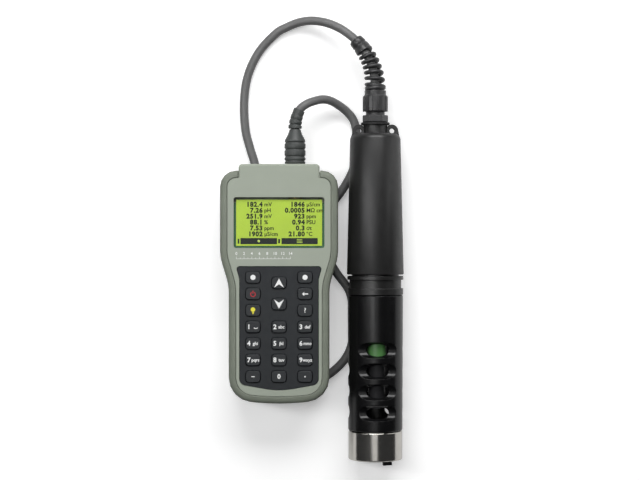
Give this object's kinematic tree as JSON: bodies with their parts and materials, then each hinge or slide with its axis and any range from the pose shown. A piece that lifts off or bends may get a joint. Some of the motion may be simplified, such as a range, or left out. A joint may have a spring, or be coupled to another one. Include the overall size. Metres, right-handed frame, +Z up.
{
  "type": "water quality probe",
  "caption": "Handheld multiparameter water meter with display and keypad, cabled to a round submersible multi-sensor probe with slotted shield and steel weight ring.",
  "frame": {"origin": "on the surface that both instruments lie on, under the middle of the box around the meter and the probe", "axes": "+X to the meter's right, +Y towards the meter's connector end and the probe's cable end, +Z up out of the meter's face"},
  "size_m": [0.1438, 0.3529, 0.0448],
  "materials": {
    "boot_rubber": "matte",
    "case_plastic": "satin",
    "keypad_film": "satin",
    "key_rubber": "matte",
    "clear_window": "polished",
    "lcd_glass": "gloss",
    "circuit_board": "satin",
    "cell_sleeve": "gloss",
    "seal_rubber": "matte",
    "screw_steel": "satin",
    "socket_metal": "satin",
    "cable_rubber": "satin",
    "gland_nylon": "satin",
    "housing_plastic": "satin",
    "shield_plastic": "gloss",
    "ring_steel": "polished",
    "sensor_green": "satin",
    "sensor_black": "satin",
    "pin_steel": "satin"
  },
  "bodies": {
    "instrument": {"rubber_boot": "boot_rubber", "front_case": "case_plastic", "rear_case": "case_plastic", "battery_cover": "case_plastic", "keypad_panel": "keypad_film", "display_window": "clear_window", "lcd_module": "lcd_glass", "main_board": "circuit_board", "probe_board": "circuit_board", "battery_1": "cell_sleeve", "battery_2": "cell_sleeve", "battery_3": "cell_sleeve", "battery_4": "cell_sleeve", "case_seal": "seal_rubber", "cover_seal": "seal_rubber", "housing_seal": "seal_rubber", "gland_seal": "seal_rubber", "gland_washer": "seal_rubber", "cover_screw_1": "screw_steel", "cover_screw_2": "screw_steel", "cover_screw_3": "screw_steel", "cover_screw_4": "screw_steel", "meter_socket": "socket_metal", "cord": "cable_rubber", "plug_body": "cable_rubber", "plug_relief": "cable_rubber", "gland_body": "gland_nylon", "gland_nut": "gland_nylon", "spiral_relief": "gland_nylon", "probe_housing": "housing_plastic", "sensor_carrier": "housing_plastic", "temperature_pin": "pin_steel"},
    "key_soft_left": {"key_soft_left": "key_rubber"},
    "key_soft_right": {"key_soft_right": "key_rubber"},
    "key_power": {"key_power": "key_rubber"},
    "key_back": {"key_back": "key_rubber"},
    "key_light": {"key_light": "key_rubber"},
    "key_help": {"key_help": "key_rubber"},
    "key_up": {"key_up": "key_rubber"},
    "key_down": {"key_down": "key_rubber"},
    "key_0": {"key_0": "key_rubber"},
    "key_1": {"key_1": "key_rubber"},
    "key_2": {"key_2": "key_rubber"},
    "key_3": {"key_3": "key_rubber"},
    "key_4": {"key_4": "key_rubber"},
    "key_5": {"key_5": "key_rubber"},
    "key_6": {"key_6": "key_rubber"},
    "key_7": {"key_7": "key_rubber"},
    "key_8": {"key_8": "key_rubber"},
    "key_9": {"key_9": "key_rubber"},
    "key_minus": {"key_minus": "key_rubber"},
    "key_point": {"key_point": "key_rubber"},
    "probe_shield": {"shield": "shield_plastic", "weight_ring": "ring_steel"},
    "sensor_ph": {"sensor_ph": "sensor_green"},
    "sensor_ec": {"sensor_ec": "sensor_black"},
    "sensor_oxygen": {"sensor_oxygen": "sensor_black"}
  },
  "joints": [
    {"name": "key_soft_left_press", "type": "slide", "parent": "instrument", "child": "key_soft_left", "axis": [0, 0, -1], "range_m": [0, 0.0008], "stiffness_N_per_m": 300},
    {"name": "key_soft_right_press", "type": "slide", "parent": "instrument", "child": "key_soft_right", "axis": [0, 0, -1], "range_m": [0, 0.0008], "stiffness_N_per_m": 300},
    {"name": "key_power_press", "type": "slide", "parent": "instrument", "child": "key_power", "axis": [0, 0, -1], "range_m": [0, 0.0008], "stiffness_N_per_m": 300},
    {"name": "key_back_press", "type": "slide", "parent": "instrument", "child": "key_back", "axis": [0, 0, -1], "range_m": [0, 0.0008], "stiffness_N_per_m": 300},
    {"name": "key_light_press", "type": "slide", "parent": "instrument", "child": "key_light", "axis": [0, 0, -1], "range_m": [0, 0.0008], "stiffness_N_per_m": 300},
    {"name": "key_help_press", "type": "slide", "parent": "instrument", "child": "key_help", "axis": [0, 0, -1], "range_m": [0, 0.0008], "stiffness_N_per_m": 300},
    {"name": "key_up_press", "type": "slide", "parent": "instrument", "child": "key_up", "axis": [0, 0, -1], "range_m": [0, 0.0008], "stiffness_N_per_m": 300},
    {"name": "key_down_press", "type": "slide", "parent": "instrument", "child": "key_down", "axis": [0, 0, -1], "range_m": [0, 0.0008], "stiffness_N_per_m": 300},
    {"name": "key_0_press", "type": "slide", "parent": "instrument", "child": "key_0", "axis": [0, 0, -1], "range_m": [0, 0.0008], "stiffness_N_per_m": 300},
    {"name": "key_1_press", "type": "slide", "parent": "instrument", "child": "key_1", "axis": [0, 0, -1], "range_m": [0, 0.0008], "stiffness_N_per_m": 300},
    {"name": "key_2_press", "type": "slide", "parent": "instrument", "child": "key_2", "axis": [0, 0, -1], "range_m": [0, 0.0008], "stiffness_N_per_m": 300},
    {"name": "key_3_press", "type": "slide", "parent": "instrument", "child": "key_3", "axis": [0, 0, -1], "range_m": [0, 0.0008], "stiffness_N_per_m": 300},
    {"name": "key_4_press", "type": "slide", "parent": "instrument", "child": "key_4", "axis": [0, 0, -1], "range_m": [0, 0.0008], "stiffness_N_per_m": 300},
    {"name": "key_5_press", "type": "slide", "parent": "instrument", "child": "key_5", "axis": [0, 0, -1], "range_m": [0, 0.0008], "stiffness_N_per_m": 300},
    {"name": "key_6_press", "type": "slide", "parent": "instrument", "child": "key_6", "axis": [0, 0, -1], "range_m": [0, 0.0008], "stiffness_N_per_m": 300},
    {"name": "key_7_press", "type": "slide", "parent": "instrument", "child": "key_7", "axis": [0, 0, -1], "range_m": [0, 0.0008], "stiffness_N_per_m": 300},
    {"name": "key_8_press", "type": "slide", "parent": "instrument", "child": "key_8", "axis": [0, 0, -1], "range_m": [0, 0.0008], "stiffness_N_per_m": 300},
    {"name": "key_9_press", "type": "slide", "parent": "instrument", "child": "key_9", "axis": [0, 0, -1], "range_m": [0, 0.0008], "stiffness_N_per_m": 300},
    {"name": "key_minus_press", "type": "slide", "parent": "instrument", "child": "key_minus", "axis": [0, 0, -1], "range_m": [0, 0.0008], "stiffness_N_per_m": 300},
    {"name": "key_point_press", "type": "slide", "parent": "instrument", "child": "key_point", "axis": [0, 0, -1], "range_m": [0, 0.0008], "stiffness_N_per_m": 300},
    {"name": "shield_pull", "type": "slide", "parent": "instrument", "child": "probe_shield", "axis": [0, -1, 0], "range_m": [0, 0.095]},
    {"name": "sensor_ph_unplug", "type": "slide", "parent": "instrument", "child": "sensor_ph", "axis": [0, -1, 0], "range_m": [0, 0.0155]},
    {"name": "sensor_ec_unplug", "type": "slide", "parent": "instrument", "child": "sensor_ec", "axis": [0, -1, 0], "range_m": [0, 0.0155]},
    {"name": "sensor_oxygen_unplug", "type": "slide", "parent": "instrument", "child": "sensor_oxygen", "axis": [0, -1, 0], "range_m": [0, 0.0155]}
  ]
}
